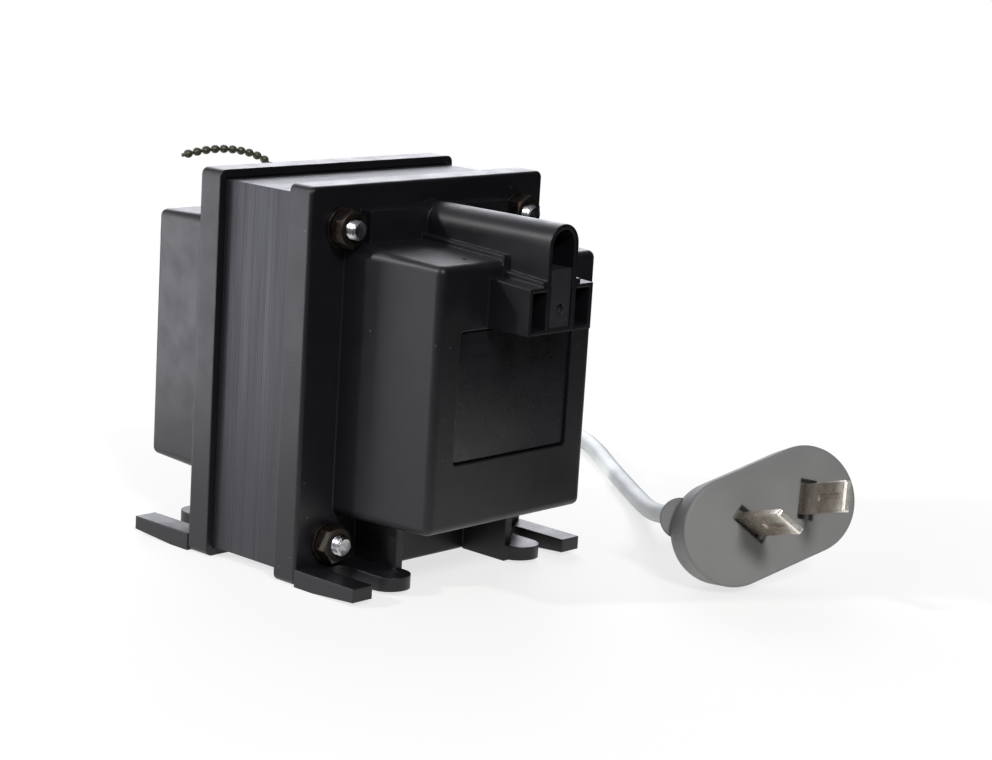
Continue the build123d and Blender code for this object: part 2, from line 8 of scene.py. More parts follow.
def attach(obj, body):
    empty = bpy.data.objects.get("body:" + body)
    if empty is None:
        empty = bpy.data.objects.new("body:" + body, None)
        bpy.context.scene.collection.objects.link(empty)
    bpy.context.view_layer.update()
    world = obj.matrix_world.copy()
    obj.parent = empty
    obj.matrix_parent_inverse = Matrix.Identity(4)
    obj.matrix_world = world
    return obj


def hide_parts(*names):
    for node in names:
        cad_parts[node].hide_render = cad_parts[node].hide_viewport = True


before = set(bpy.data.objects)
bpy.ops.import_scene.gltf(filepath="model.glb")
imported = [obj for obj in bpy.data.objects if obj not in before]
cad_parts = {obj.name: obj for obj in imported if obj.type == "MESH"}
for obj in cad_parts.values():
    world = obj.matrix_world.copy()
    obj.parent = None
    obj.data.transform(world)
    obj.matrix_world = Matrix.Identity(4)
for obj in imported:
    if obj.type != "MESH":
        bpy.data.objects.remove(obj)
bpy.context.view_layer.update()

bl_info = {
    "name": "Travel voltage converter",
    "version": (1, 0, 0),
    "blender": (4, 5, 0),
    "location": "View3D > Sidebar > Converter",
    "description": "Lead, fasteners, pins, beaded tie and finishes of a travel voltage converter",
    "category": "Object",
}

MM = 0.001

# The middle of the core, behind the origin and above the floor
CORE_Y = 4.6 * MM
CORE_Z = 40.0 * MM

# The bolts and the washers' outer faces, from the middle of the core
BOLT_X = 25.4 * MM
BOLT_Z = 31.75 * MM
CLAMP_FACE = 17.05 * MM
BOLT_PLACES = [(x, CORE_Z + z) for x in (-BOLT_X, BOLT_X) for z in (-BOLT_Z, BOLT_Z)]

# Heights of the lead's middle, in millimetres, on the floor and on another turn
ON_FLOOR = 2.1
ON_TURN = 6.3

# Route of the lead: sleeve to coil, and coil to plug, in millimetres
REAR_ROUTE = [
    (12.0, 64.05, 60.2),
    (12.0, 73.0, 60.2),
    (17.5, 86.0, 56.0),
    (26.0, 95.0, 46.5),
    (36.0, 100.5, 34.0),
    (47.0, 102.5, 22.5),
    (59.5, 102.0, 13.0),
    (73.0, 98.5, 7.0),
]
FRONT_ROUTE = [
    (112.6, 60.0, ON_FLOOR),
    (113.4, 46.0, ON_FLOOR),
    (110.6, 32.0, ON_FLOOR),
    (102.4, 19.8, ON_FLOOR),
    (92.4, 7.6, ON_FLOOR),
    (81.8, -6.2, ON_FLOOR),
    (71.2, -19.4, 2.6),
    (61.0, -30.6, 4.4),
    (51.2, -42.0, 7.6),
    (42.1, -52.1, 11.1),
]

# The coil's turns, in millimetres: its middle, and at each number of turns from its
# start the radius and the height
COIL_X = 84.0
COIL_Y = 72.0
COIL_PLAN = [
    (0.0, 25.1, ON_TURN),
    (0.75, 25.1, ON_TURN),
    (1.0, 20.9, ON_TURN),
    (1.8, 20.9, ON_TURN),
    (2.0, 18.8, ON_FLOOR),
    (2.6, 18.8, ON_FLOOR),
    (2.8, 23.0, ON_FLOOR),
    (3.6, 23.0, ON_FLOOR),
    (3.8, 27.2, ON_FLOOR),
    (4.25, 27.2, ON_FLOOR),
]
POINTS_PER_TURN = 24

# Route of the beaded tie: once round the sleeve, then up and over the rear cover
TIE_ROUTE = [
    (16.6, 46.6, 65.4),
    (11.4, 46.8, 66.4),
    (6.6, 47.1, 62.8),
    (6.6, 47.4, 57.6),
    (11.4, 47.8, 54.2),
    (16.8, 48.6, 56.4),
    (18.6, 49.6, 62.6),
    (18.8, 50.0, 69.5),
    (16.2, 50.0, 74.4),
    (10.0, 49.4, 76.9),
    (2.0, 48.8, 78.3),
    (-6.0, 48.4, 78.2),
    (-11.3, 48.0, 77.4),
]
BEAD_STRETCH = 1.12

# How finely a cord is divided, along its route and round it
CORD_STEPS = 6

# The plug's face: its middle between the pins, the row of pins, and the way they point
PLUG_PLACE = Vector((47.5, -74.6, 16.1))
PLUG_ROW = Vector((0.885, -0.339, 0.321)).normalized()
PLUG_FRONT = Vector((-0.433, -0.853, 0.293))

# Along the way the pins point: where the plug's neck turns pale and the pins turn bright
NECK_FADE = (-10.6 * MM, -12.6 * MM)
TIP_FADE = (13.2 * MM, 16.2 * MM)

# The pins: each one's turn, its length inside the plug, softened edges and grooves
PIN_TURN = math.radians(60)
PIN_SUNK = 6.0 * MM
TIP_EDGE = 0.42 * MM
SIDE_EDGE = 0.25 * MM
GROOVE_WIDTH = 1.5 * MM
GROOVE_DEPTH = 0.4 * MM
GROOVE_SLOPE = 0.6
GROOVE_START = 6.5 * MM
GROOVE_TO_TIP = 1.4 * MM

# Points of each ring of a nut or bolt
RING_POINTS = 48

# The corners of nuts and heads are cut back in small steps, down to a share of the
# flats, and a head's flat crown has an inner ring at a share of that
CORNER_SLOPE = math.tan(math.radians(60))
CORNER_DEPTHS = [step * 0.08 * MM for step in range(7)]
NUT_RIM = 0.95
HEAD_RIM = 0.94
HEAD_CROWN = 0.6

# The nuts' bores, and how each nut and each bolt is turned
BORE_GAP = 0.02 * MM
BORE_CHAMFER = 0.25 * MM
FIRST_NUT_TURN = math.radians(11)
NUT_TURN = math.radians(23)
BOLT_TURN = math.radians(37)

# The bolts' thread: how far it runs into the nut, its depth as a share of its pitch,
# its rings per turn, the taper of the bolt's end, and the height and share of its point
THREAD_IN_NUT = 1.5 * MM
THREAD_DEPTH = 0.6
THREAD_RINGS = 8
END_TAPER = 0.35 * MM
POINT_HEIGHT = 0.03 * MM
POINT_SHARE = 0.4

# Camera, fitted to the photograph's edges
CAMERA_PLACE = Vector((-0.3593, -0.35454, 0.14217))
CAMERA_HEADING = math.radians(48.094)
CAMERA_PITCH = math.radians(-11.704)
CAMERA_ROLL = math.radians(3.5426)
CAMERA_LENS = 89.58

# Lamps: suns as name, direction of their rays, strength and angle across, and
# softboxes as name, place, width and height, and brightness where 1 is white
OBJECT_MIDDLE = Vector((0.0, 0.0, CORE_Z))
SUNS = [
    ("key", (1.0, -0.62, -0.65), 1.7, 4),
    ("fill", (0.35, 0.7, -0.6), 1.8, 12),
]
SOFTBOXES = [
    ("left_softbox", (-0.3, 0.46, -0.03), (0.32, 0.42), 4.2),
    ("back_softbox", (0.7, 0.8, 0.52), (0.8, 0.7), 4.4),
]
SOFTBOX_COLOUR = (0.93, 0.94, 1.0)

# The room that lights the object: its colour, the way to its bright side, and its
# strength from the dark side to the bright one
WHITE = (1.0, 1.0, 1.0, 1.0)
ROOM_COLOUR = (0.92, 0.93, 1.0, 1.0)
BRIGHT_SIDE = (-0.5, 0.62, 0.6)
ROOM_SIDES = (-0.35, 0.7)
ROOM_STRENGTH = (0.01, 0.5)

# The floor glows this much of its white near its middle, and wholly past the fade
FLOOR_MIDDLE = Vector((0.035, 0.01, 0.0))
FLOOR_RADIUS = 0.17
FLOOR_SUNK = 0.1 * MM
FLOOR_COLOUR = (0.93, 0.92, 0.89, 1.0)
FLOOR_GLOW = 0.72
FLOOR_FADE = (0.1, 0.168)

# Most of a noise lies in this range
NOISE_RANGE = (0.3, 0.7)


def from_core(point):
    """A place in millimetres, from the core's middle and the floor, in the object's metres."""
    return Vector((point[0] * MM, CORE_Y + point[1] * MM, point[2] * MM))


# Meshes


def new_piece(name, bm, finish, smooth=True):
    """Turns a bmesh into a piece that rides on the object and has its finish."""
    bmesh.ops.remove_doubles(bm, verts=bm.verts, dist=1e-7)
    bmesh.ops.recalc_face_normals(bm, faces=bm.faces)
    mesh = bpy.data.meshes.new(name)
    bm.to_mesh(mesh)
    bm.free()
    for face in mesh.polygons:
        face.use_smooth = smooth
    piece = bpy.data.objects.new(name, mesh)
    bpy.context.scene.collection.objects.link(piece)
    mesh.materials.append(finish)
    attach(piece, "root")
    return piece


def ring(bm, radius_at, height):
    """A closed ring of edges at a height, whose radius follows the angle."""
    made = bmesh.ops.create_circle(bm, segments=RING_POINTS, radius=1.0)
    for vert in made["verts"]:
        angle = math.atan2(vert.co.y, vert.co.x) % (2 * math.pi)
        radius = radius_at(angle)
        vert.co = Vector((radius * math.cos(angle), radius * math.sin(angle), height))
    inside = set(made["verts"])
    return list({e for v in inside for e in v.link_edges if e.other_vert(v) in inside})


def stack_rings(bm, levels, closed=False):
    """Bridges rings given as (height, radius function) into one skin, capped or closed."""
    loops = [ring(bm, radius_at, height) for height, radius_at in levels]
    pairs = list(zip(loops, loops[1:]))
    if closed:
        pairs.append((loops[-1], loops[0]))
    for low, high in pairs:
        bmesh.ops.bridge_loops(bm, edges=low + high)
    if not closed:
        bmesh.ops.contextual_create(bm, geom=loops[0])
        bmesh.ops.contextual_create(bm, geom=loops[-1])


def round_at(radius):
    """The same radius at every angle."""
    return lambda angle: radius


def hex_at(flats, limit=None):
    """The radius of a hexagon this far across flats, no more than the limit."""
    def radius_at(angle):
        flat = flats / 2 / math.cos(angle % (math.pi / 3) - math.pi / 6)
        return flat if limit is None else min(flat, limit)
    return radius_at


def thread_at(radius, height, pitch, depth):
    """The radius of a screw thread at a height, which climbs once a turn."""
    def radius_at(angle):
        phase = (height / pitch - angle / (2 * math.pi)) % 1.0
        return radius - depth * abs(2 * phase - 1)
    return radius_at


def cut_corners(flats, rim):
    """Rings of a hexagon with its corners cut back to a rim: how deep each lies, and its radius."""
    return [(depth, hex_at(flats, rim + depth * CORNER_SLOPE)) for depth in CORNER_DEPTHS]


def lay_forward(bm, x, z, face, turn):
    """Turns a stack about its own axis and lays it at a bolt, from a face toward the front."""
    turned = Matrix.Rotation(turn, 4, "Z")
    lay = Matrix(((1, 0, 0), (0, 0, 1), (0, -1, 0))).transposed().to_4x4()
    seat = Matrix.Translation(Vector((x, face, z)))
    bmesh.ops.transform(bm, matrix=seat @ lay @ turned, verts=bm.verts)


def add_to(whole, part):
    """Moves one bmesh into another."""
    mesh = bpy.data.meshes.new("passing")
    part.to_mesh(mesh)
    part.free()
    whole.from_mesh(mesh)
    bpy.data.meshes.remove(mesh)


def route_curve(name, points, thickness):
    """A smooth round cord on one spline through the middle of a route."""
    curve = bpy.data.curves.new(name, "CURVE")
    curve.dimensions = "3D"
    curve.resolution_u = CORD_STEPS
    curve.bevel_depth = thickness / 2
    curve.bevel_resolution = CORD_STEPS
    curve.use_fill_caps = True
    spline = curve.splines.new("NURBS")
    spline.points.add(len(points) - 1)
    for control, point in zip(spline.points, points):
        control.co = (*point, 1.0)
    spline.order_u = 3
    spline.use_endpoint_u = True
    cord = bpy.data.objects.new(name, curve)
    bpy.context.scene.collection.objects.link(cord)
    return cord


def coil_points():
    """The coil's turns, clockwise from above, starting at its back."""
    points = []
    turns = COIL_PLAN[-1][0]
    for number in range(int(turns * POINTS_PER_TURN) + 1):
        turn = number / POINTS_PER_TURN
        for (start, radius_0, height_0), (end, radius_1, height_1) in zip(COIL_PLAN, COIL_PLAN[1:]):
            if start <= turn <= end:
                share = (turn - start) / (end - start)
                share = share * share * (3 - 2 * share)
                radius = radius_0 + (radius_1 - radius_0) * share
                height = height_0 + (height_1 - height_0) * share
        angle = math.pi / 2 - 2 * math.pi * turn
        x = COIL_X + radius * math.cos(angle)
        y = COIL_Y + radius * math.sin(angle)
        points.append((x, y, height))
    return points


# Shader nodes


def add_node(tree, kind, values=None, **settings):
    """Adds a node with its settings and the values of its sockets."""
    made = tree.nodes.new(kind)
    for key, value in settings.items():
        setattr(made, key, value)
    for key, value in (values or {}).items():
        made.inputs[key].default_value = value
    return made


def set_socket(tree, socket, value):
    """Links a source to a socket, or gives the socket a number or a colour."""
    if isinstance(value, bpy.types.NodeSocket):
        tree.links.new(value, socket)
    elif socket.type == "RGBA":
        socket.default_value = (*value, 1.0)
    else:
        socket.default_value = value


def calculate(tree, operation, first, second=None):
    """A math node fed by one or two sockets or numbers."""
    made = add_node(tree, "ShaderNodeMath", operation=operation)
    set_socket(tree, made.inputs[0], first)
    if second is not None:
        set_socket(tree, made.inputs[1], second)
    return made.outputs[0]


def stretch(tree, source, low, high, out_low=0.0, out_high=1.0):
    """Maps a range of a value to another, and holds it inside."""
    ends = {"From Min": low, "From Max": high, "To Min": out_low, "To Max": out_high}
    made = add_node(tree, "ShaderNodeMapRange", ends)
    tree.links.new(source, made.inputs["Value"])
    return made.outputs["Result"]


def blend_colour(tree, share, first, second):
    """Mixes two colours by a share."""
    made = add_node(tree, "ShaderNodeMix", data_type="RGBA")
    tree.links.new(share, made.inputs[0])
    set_socket(tree, made.inputs[6], first)
    set_socket(tree, made.inputs[7], second)
    return made.outputs[2]


def blend_shader(tree, share, first, second):
    """Mixes two shaders by a share."""
    made = tree.nodes.new("ShaderNodeMixShader")
    for socket, source in zip(made.inputs, (share, first, second)):
        tree.links.new(source, socket)
    return made.outputs[0]


def direction_share(tree, source, direction):
    """How far a vector reaches along a direction."""
    made = add_node(tree, "ShaderNodeVectorMath", {1: direction}, operation="DOT_PRODUCT")
    tree.links.new(source, made.inputs[0])
    return made.outputs["Value"]


def toned(colour, share, lift=0.0):
    """A colour made deeper or brighter by a share, and lifted."""
    return tuple(min(1.0, channel * share + lift) for channel in colour)


def new_effect(name, inputs, outputs):
    """A shader node group with named sockets, and its two end nodes."""
    group = bpy.data.node_groups.new(name, "ShaderNodeTree")
    for label, kind, value in inputs:
        socket = group.interface.new_socket(label, in_out="INPUT", socket_type=kind)
        if value is not None:
            socket.default_value = value
    for label, kind in outputs:
        group.interface.new_socket(label, in_out="OUTPUT", socket_type=kind)
    return group, group.nodes.new("NodeGroupInput"), group.nodes.new("NodeGroupOutput")


def moulded_grain():
    """Fine spark-eroded texture of a mould, with slow waves of the wall."""
    tree, start, end = new_effect(
        "Moulded grain",
        [("Vector", "NodeSocketVector", None), ("Grain Scale", "NodeSocketFloat", 3500.0),
         ("Wave Scale", "NodeSocketFloat", 60.0), ("Wave Share", "NodeSocketFloat", 0.5)],
        [("Height", "NodeSocketFloat"), ("Patches", "NodeSocketFloat")],
    )
    fine = add_node(tree, "ShaderNodeTexNoise", {"Detail": 3.0, "Roughness": 0.6})
    wave = add_node(tree, "ShaderNodeTexNoise", {"Detail": 2.0})
    for texture, scale in ((fine, "Grain Scale"), (wave, "Wave Scale")):
        tree.links.new(start.outputs["Vector"], texture.inputs["Vector"])
        tree.links.new(start.outputs[scale], texture.inputs["Scale"])
    swell = calculate(tree, "MULTIPLY", wave.outputs[0], start.outputs["Wave Share"])
    tree.links.new(calculate(tree, "ADD", fine.outputs[0], swell), end.inputs["Height"])
    tree.links.new(stretch(tree, wave.outputs[0], 0.35, 0.65), end.inputs["Patches"])
    return tree


def dust_specks():
    """Sparse specks of dust, most of them on faces turned upward."""
    tree, start, end = new_effect(
        "Dust specks",
        [("Vector", "NodeSocketVector", None), ("Scale", "NodeSocketFloat", 380.0),
         ("Amount", "NodeSocketFloat", 0.12)],
        [("Mask", "NodeSocketFloat")],
    )
    cells = add_node(tree, "ShaderNodeTexVoronoi", {"Randomness": 1.0})
    cover = add_node(tree, "ShaderNodeTexNoise", {"Scale": 140.0, "Detail": 3.0})
    tree.links.new(start.outputs["Vector"], cells.inputs["Vector"])
    tree.links.new(start.outputs["Scale"], cells.inputs["Scale"])
    tree.links.new(start.outputs["Vector"], cover.inputs["Vector"])
    near = stretch(tree, cells.outputs["Distance"], 0.09, 0.04)
    patch = stretch(tree, cover.outputs[0], 0.52, 0.6)
    geometry = tree.nodes.new("ShaderNodeNewGeometry")
    parts = tree.nodes.new("ShaderNodeSeparateXYZ")
    tree.links.new(geometry.outputs["Normal"], parts.inputs[0])
    upward = stretch(tree, parts.outputs["Z"], -0.2, 1.0, 0.25, 1.0)
    speck = calculate(tree, "MULTIPLY", calculate(tree, "MULTIPLY", near, patch), upward)
    tree.links.new(calculate(tree, "MULTIPLY", speck, start.outputs["Amount"]), end.inputs["Mask"])
    return tree


def rubbed_edges():
    """Edges with a softened normal, and a mask of where they are rubbed, broken up by scuffs."""
    tree, start, end = new_effect(
        "Rubbed edges",
        [("Vector", "NodeSocketVector", None), ("Width", "NodeSocketFloat", 0.0005),
         ("Scuff Scale", "NodeSocketFloat", 400.0), ("Amount", "NodeSocketFloat", 0.4)],
        [("Mask", "NodeSocketFloat"), ("Normal", "NodeSocketVector")],
    )
    bevel = add_node(tree, "ShaderNodeBevel", samples=4)
    tree.links.new(start.outputs["Width"], bevel.inputs["Radius"])
    geometry = tree.nodes.new("ShaderNodeNewGeometry")
    dot = add_node(tree, "ShaderNodeVectorMath", operation="DOT_PRODUCT")
    tree.links.new(bevel.outputs["Normal"], dot.inputs[0])
    tree.links.new(geometry.outputs["Normal"], dot.inputs[1])
    edge = stretch(tree, dot.outputs["Value"], 0.99, 0.8)
    scuffs = add_node(tree, "ShaderNodeTexNoise", {"Detail": 4.0})
    tree.links.new(start.outputs["Vector"], scuffs.inputs["Vector"])
    tree.links.new(start.outputs["Scuff Scale"], scuffs.inputs["Scale"])
    broken = calculate(tree, "MULTIPLY", edge, stretch(tree, scuffs.outputs[0], 0.45, 0.65))
    tree.links.new(calculate(tree, "MULTIPLY", broken, start.outputs["Amount"]), end.inputs["Mask"])
    tree.links.new(bevel.outputs["Normal"], end.inputs["Normal"])
    return tree


def stacked_sheets():
    """Edges of thin sheets stacked along Y: each sheet's tone and height, and fine streaks."""
    tree, start, end = new_effect(
        "Stacked sheets",
        [("Vector", "NodeSocketVector", None), ("Sheet", "NodeSocketFloat", 0.0005)],
        [("Tone", "NodeSocketFloat"), ("Height", "NodeSocketFloat"), ("Streaks", "NodeSocketFloat")],
    )
    parts = tree.nodes.new("ShaderNodeSeparateXYZ")
    tree.links.new(start.outputs["Vector"], parts.inputs[0])
    sheet = calculate(tree, "DIVIDE", parts.outputs["Y"], start.outputs["Sheet"])
    each = add_node(tree, "ShaderNodeTexWhiteNoise", noise_dimensions="1D")
    tree.links.new(calculate(tree, "FLOOR", sheet), each.inputs["W"])
    from_middle = calculate(tree, "SUBTRACT", calculate(tree, "FRACT", sheet), 0.5)
    gap = stretch(tree, calculate(tree, "ABSOLUTE", from_middle), 0.36, 0.5, 1.0, 0.0)
    streaks = add_node(tree, "ShaderNodeTexNoise", {"Scale": 1.0, "Detail": 4.0, "Roughness": 0.65})
    squeeze = add_node(tree, "ShaderNodeVectorMath", {1: (20.0, 420.0, 20.0)}, operation="MULTIPLY")
    tree.links.new(start.outputs["Vector"], squeeze.inputs[0])
    tree.links.new(squeeze.outputs[0], streaks.inputs["Vector"])
    tree.links.new(each.outputs["Value"], end.inputs["Tone"])
    height = calculate(tree, "ADD", gap, calculate(tree, "MULTIPLY", each.outputs["Value"], 0.5))
    tree.links.new(height, end.inputs["Height"])
    tree.links.new(streaks.outputs[0], end.inputs["Streaks"])
    return tree


EFFECTS = {
    "Moulded grain": moulded_grain,
    "Dust specks": dust_specks,
    "Rubbed edges": rubbed_edges,
    "Stacked sheets": stacked_sheets,
}


class Finish:
    """A material in the making: its node tree, its shader, and the object's coordinates."""

    def __init__(self, name, **plain):
        self.material = bpy.data.materials.new(name)
        self.material.use_nodes = True
        self.tree = self.material.node_tree
        self.shader = self.tree.nodes["Principled BSDF"]
        self.coordinates = self.tree.nodes.new("ShaderNodeTexCoord").outputs["Object"]
        for socket, value in plain.items():
            self.shader.inputs[socket.replace("_", " ")].default_value = value

    def use(self, name, values=None):
        """Places a shared effect with its own values, made the first time it is asked for."""
        made = self.tree.nodes.new("ShaderNodeGroup")
        made.node_tree = bpy.data.node_groups.get(name) or EFFECTS[name]()
        self.tree.links.new(self.coordinates, made.inputs["Vector"])
        for key, value in (values or {}).items():
            made.inputs[key].default_value = value
        return made.outputs

    def noise(self, scale, detail=3.0, roughness=0.5):
        """A noise on the object's coordinates."""
        values = {"Scale": scale, "Detail": detail, "Roughness": roughness}
        made = add_node(self.tree, "ShaderNodeTexNoise", values)
        self.tree.links.new(self.coordinates, made.inputs["Vector"])
        return made.outputs[0]

    def axis(self, name):
        """One of the object's coordinates, by its letter."""
        parts = self.tree.nodes.new("ShaderNodeSeparateXYZ")
        self.tree.links.new(self.coordinates, parts.inputs[0])
        return parts.outputs[name]

    def feed(self, socket, source):
        """Links a source to a socket of the shader."""
        self.tree.links.new(source, self.shader.inputs[socket])

    def rough(self, noise, low, high):
        """Feeds the shader's roughness with a noise between two values."""
        self.feed("Roughness", stretch(self.tree, noise, *NOISE_RANGE, low, high))

    def bump(self, height, depth, normal=None):
        """Feeds the shader's normal with a bump of this depth in metres."""
        made = add_node(self.tree, "ShaderNodeBump", {"Strength": 1.0, "Distance": depth})
        self.tree.links.new(height, made.inputs["Height"])
        if normal is not None:
            self.tree.links.new(normal, made.inputs["Normal"])
        self.feed("Normal", made.outputs[0])


def moulded_plastic(name, colour, rough=(0.36, 0.48), grain=0.00002, dust=0.1, edge=0.0004,
                    wear=0.35, pale=(0.32, 0.32, 0.33), specular=0.5):
    """Moulded plastic: tone patches, grain, rubbed edges and dust."""
    finish = Finish(name, Specular_IOR_Level=specular)
    tree = finish.tree
    grains = finish.use("Moulded grain")
    edges = finish.use("Rubbed edges", {"Width": edge, "Amount": wear})
    specks = finish.use("Dust specks", {"Amount": dust})
    base = blend_colour(tree, grains["Patches"], toned(colour, 0.82), colour)
    base = blend_colour(tree, edges["Mask"], base, toned(colour, 2.2, 0.01))
    base = blend_colour(tree, specks["Mask"], base, pale)
    finish.feed("Base Color", base)
    finish.rough(finish.noise(220.0, 4.0), *rough)
    finish.bump(grains["Height"], grain, edges["Normal"])
    return finish.material


def laminated_steel(name, colour, rust=(1.1, 0.9, 0.8), dust=(0.4, 0.4, 0.4)):
    """Varnished edges of the core's stampings, in fine streaks tinted with rust."""
    finish = Finish(name)
    tree = finish.tree
    sheets = finish.use("Stacked sheets")
    specks = finish.use("Dust specks", {"Amount": 0.25})
    rusty = tuple(channel * tint for channel, tint in zip(colour, rust))
    base = blend_colour(tree, sheets["Tone"], toned(colour, 0.72), colour)
    base = blend_colour(tree, stretch(tree, sheets["Streaks"], 0.55, 0.75, 0.0, 0.4), base, rusty)
    base = blend_colour(tree, specks["Mask"], base, dust)
    finish.feed("Base Color", base)
    finish.feed("Metallic", stretch(tree, sheets["Streaks"], *NOISE_RANGE, 0.3, 0.6))
    finish.rough(sheets["Streaks"], 0.34, 0.5)
    finish.bump(sheets["Height"], 0.00003)
    return finish.material


def plug_share(finish, fade):
    """How far a place on the plug lies through a fade, along the way its pins point."""
    tree = finish.tree
    from_face = add_node(tree, "ShaderNodeVectorMath", {1: from_core(PLUG_PLACE)}, operation="SUBTRACT")
    tree.links.new(finish.coordinates, from_face.inputs[0])
    return stretch(tree, direction_share(tree, from_face.outputs[0], PLUG_FRONT), *fade)


def plug_plastic(colour, neck, dust=(0.1, 0.09, 0.08)):
    """The plug's satin face and sides, and its paler neck behind them."""
    finish = Finish("Plug PVC", Specular_IOR_Level=0.4)
    tree = finish.tree
    grains = finish.use("Moulded grain")
    edges = finish.use("Rubbed edges", {"Width": 0.0007, "Amount": 0.12})
    specks = finish.use("Dust specks", {"Amount": 0.2})
    base = blend_colour(tree, grains["Patches"], toned(colour, 0.86), colour)
    base = blend_colour(tree, plug_share(finish, NECK_FADE), base, neck)
    base = blend_colour(tree, specks["Mask"], base, dust)
    finish.feed("Base Color", base)
    finish.rough(finish.noise(220.0, 4.0), 0.42, 0.55)
    finish.bump(grains["Height"], 0.000014, edges["Normal"])
    return finish.material


def pin_plate(colour, stain, tip):
    """Tarnished plate of the pins, worn bright at their tips."""
    finish = Finish("Pin plate", Metallic=0.7)
    tree = finish.tree
    edges = finish.use("Rubbed edges", {"Width": 0.0002, "Amount": 0.5, "Scuff Scale": 500.0})
    patches = stretch(tree, finish.noise(240.0, 5.0, 0.65), 0.4, 0.64)
    base = blend_colour(tree, patches, colour, stain)
    worn = calculate(tree, "ADD", plug_share(finish, TIP_FADE), edges["Mask"])
    uneven = stretch(tree, finish.noise(700.0, 4.0), 0.3, 0.55, 0.35, 1.0)
    finish.feed("Base Color", blend_colour(tree, calculate(tree, "MULTIPLY", worn, uneven), base, tip))
    finish.rough(finish.noise(500.0, 4.0), 0.2, 0.38)
    finish.bump(finish.noise(1500.0, 3.0), 0.000006, edges["Normal"])
    return finish.material


def aged_metal(name, colour, stain, rough=(0.22, 0.5), scale=900.0, edge=0.0002):
    """Plated metal with tarnish in patches, a fine unevenness and rubbed edges."""
    finish = Finish(name, Metallic=1.0)
    tree = finish.tree
    edges = finish.use("Rubbed edges", {"Width": edge, "Amount": 0.6, "Scuff Scale": scale})
    patches = stretch(tree, finish.noise(scale * 0.4, 5.0, 0.65), 0.42, 0.62)
    base = blend_colour(tree, patches, colour, stain)
    finish.feed("Base Color", blend_colour(tree, edges["Mask"], base, toned(colour, 1.25)))
    finish.rough(finish.noise(scale, 4.0), *rough)
    finish.bump(finish.noise(scale * 3, 3.0), 0.000008, edges["Normal"])
    return finish.material


def wound_copper(name, wire, colour):
    """Enamelled turns of a wire this thick, side by side along X, each round, with painted shade where
    the turns meet.
    """
    finish = Finish(name, Metallic=0.8, Coat_Weight=0.6, Coat_Roughness=0.12)
    tree = finish.tree
    turns = calculate(tree, "DIVIDE", finish.axis("X"), wire)
    across = calculate(tree, "MULTIPLY", calculate(tree, "FRACT", turns), 2.0)
    across = calculate(tree, "SUBTRACT", across, 1.0)
    square = calculate(tree, "MULTIPLY", across, across)
    bulge = calculate(tree, "SQRT", calculate(tree, "SUBTRACT", 1.0, square))
    each = add_node(tree, "ShaderNodeTexWhiteNoise", noise_dimensions="1D")
    tree.links.new(calculate(tree, "FLOOR", turns), each.inputs["W"])
    # Each turn has its own random tone, and painted shade darkens the colour toward the sides of each
    # turn, following its round profile.
    turn_tone_and_painted_shade = stretch(tree, each.outputs["Value"], 0.0, 1.0, 0.8, 1.0)
    turn_tone_and_painted_shade = calculate(tree, "MULTIPLY", bulge, turn_tone_and_painted_shade)
    finish.feed("Base Color", blend_colour(tree, turn_tone_and_painted_shade, toned(colour, 0.3), colour))
    finish.rough(finish.noise(500.0), 0.25, 0.4)
    finish.bump(bulge, wire * 0.4)
    return finish.material


def wound_tape(name, colour, lap=0.009):
    """Thin polyester tape: overlapping laps across X and a soft crinkle."""
    finish = Finish(name, Coat_Weight=0.3)
    tree = finish.tree
    step = calculate(tree, "FRACT", calculate(tree, "DIVIDE", finish.axis("X"), lap))
    crinkle = finish.noise(260.0, 4.0)
    height = calculate(tree, "ADD", step, calculate(tree, "MULTIPLY", crinkle, 0.6))
    patches = stretch(tree, crinkle, 0.35, 0.65)
    finish.feed("Base Color", blend_colour(tree, patches, toned(colour, 0.7), colour))
    finish.rough(crinkle, 0.3, 0.45)
    finish.bump(height, 0.00008)
    return finish.material


# Sizes and colours that a user would change


def length_value(name, description, default):
    """A size in metres."""
    return bpy.props.FloatProperty(
        name=name, description=description, default=default,
        min=0.0001, unit="LENGTH", subtype="DISTANCE",
    )


def colour_value(name, description, default):
    """A colour without alpha."""
    return bpy.props.FloatVectorProperty(
        name=name, description=description, default=default,
        size=3, min=0.0, max=1.0, subtype="COLOR",
    )


class ConverterSizes(bpy.types.PropertyGroup):
    """Sizes of the pieces that are made here."""

    cord: length_value("Cord", "Diameter of the mains lead", 4.2 * MM)
    flats: length_value("Nut flats", "Width across flats of the nuts and bolt heads", 7.0 * MM)
    nut: length_value("Nut", "Thickness of the nuts", 3.2 * MM)
    head: length_value("Head", "Thickness of the bolt heads", 2.8 * MM)
    bolt: length_value("Bolt", "Diameter of the bolts", 4.0 * MM)
    bolt_end: length_value("Bolt end", "How far each bolt stands out of its nut", 1.7 * MM)
    thread: length_value("Thread", "Pitch of the bolts' thread", 0.7 * MM)
    pin_width: length_value("Pin width", "Width of the plug's pins", 6.35 * MM)
    pin_thick: length_value("Pin thickness", "Thickness of the plug's pins", 1.6 * MM)
    pin_length: length_value("Pin length", "Length of the pins outside the plug's face", 17.35 * MM)
    pin_pitch: length_value("Pin pitch", "Distance between the middles of the pins", 13.72 * MM)
    bead: length_value("Bead", "Diameter of the tie's beads", 1.9 * MM)
    bead_step: length_value("Bead step", "Distance from bead to bead", 2.7 * MM)
    string: length_value("String", "Diameter of the tie between its beads", 0.8 * MM)


